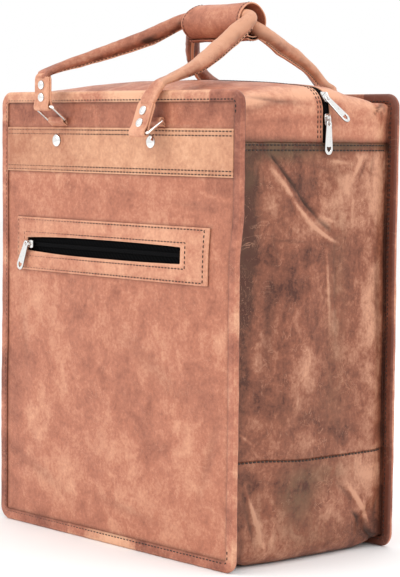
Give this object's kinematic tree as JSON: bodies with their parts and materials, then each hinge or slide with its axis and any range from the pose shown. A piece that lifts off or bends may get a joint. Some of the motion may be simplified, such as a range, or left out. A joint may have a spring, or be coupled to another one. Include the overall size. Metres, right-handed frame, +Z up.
{
  "type": "leather shopper bag",
  "caption": "Upright leather shopper bag with a domed zip top, a zipped welt pocket, edge bindings and rolled handles on wire rings, joined by a leather wrap.",
  "frame": {"origin": "on the ground under the middle of the bag", "axes": "+Z up, +X to the right seen from the front, the front panel towards -Y"},
  "size_m": [0.3875, 0.2717, 0.5495],
  "materials": {
    "main_leather": "reddish tan smooth leather",
    "light_leather": "light peach tan smooth leather",
    "dark_leather": "darker mottled brown leather",
    "edge_leather": "tan rolled edge leather",
    "zip_tape": "black woven tape",
    "zip_chain": "black coil teeth",
    "nickel": "bright polished nickel",
    "closure": "black hook tape"
  },
  "bodies": {
    "bag": {"top_strip_front": "main_leather", "top_strip_back": "main_leather", "side_panel_right": "dark_leather", "side_panel_left": "dark_leather", "base_panel": "dark_leather", "main_zip_tape": "zip_tape", "main_zip_chain": "zip_chain", "back_panel": "main_leather", "back_band": "light_leather", "back_binding": "edge_leather", "front_panel": "main_leather", "front_band": "light_leather", "front_binding": "edge_leather", "pocket_welt": "main_leather", "pocket_zip_tape": "zip_tape", "pocket_zip_chain": "zip_chain", "lower_zip_slider": "nickel", "upper_zip_slider": "nickel", "pocket_zip_slider": "nickel", "front_left_chape": "main_leather", "front_left_chape_rivet": "nickel", "front_left_ring": "nickel", "front_right_chape": "main_leather", "front_right_chape_rivet": "nickel", "front_right_ring": "nickel", "back_left_chape": "main_leather", "back_left_chape_rivet": "nickel", "back_left_ring": "nickel", "back_right_chape": "main_leather", "back_right_chape_rivet": "nickel", "back_right_ring": "nickel", "front_handle": "main_leather", "back_handle": "main_leather", "front_left_tab_rivet_1": "nickel", "front_left_tab_rivet_2": "nickel", "front_right_tab_rivet_1": "nickel", "front_right_tab_rivet_2": "nickel", "back_left_tab_rivet_1": "nickel", "back_left_tab_rivet_2": "nickel", "back_right_tab_rivet_1": "nickel", "back_right_tab_rivet_2": "nickel", "handle_wrap": "main_leather", "wrap_closure": "closure"},
    "lower_pull": {"lower_zip_pull": "nickel"},
    "upper_pull": {"upper_zip_pull": "nickel"},
    "pocket_pull": {"pocket_zip_pull": "nickel"}
  },
  "joints": [
    {"name": "lower_pull_turn", "type": "hinge", "parent": "bag", "child": "lower_pull", "pos_m": [0.18466, 0.012, 0.42886], "axis": [1, 0, 0.0026], "range_deg": [-90, 90]},
    {"name": "upper_pull_turn", "type": "hinge", "parent": "bag", "child": "upper_pull", "pos_m": [0.1826, 0.012, 0.45293], "axis": [0.8376, 0, 0.5462], "range_deg": [-130, 50]},
    {"name": "pocket_pull_turn", "type": "hinge", "parent": "bag", "child": "pocket_pull", "pos_m": [-0.13885, -0.11272, 0.30015], "axis": [0, -1, 0], "range_deg": [-150, 70]}
  ]
}
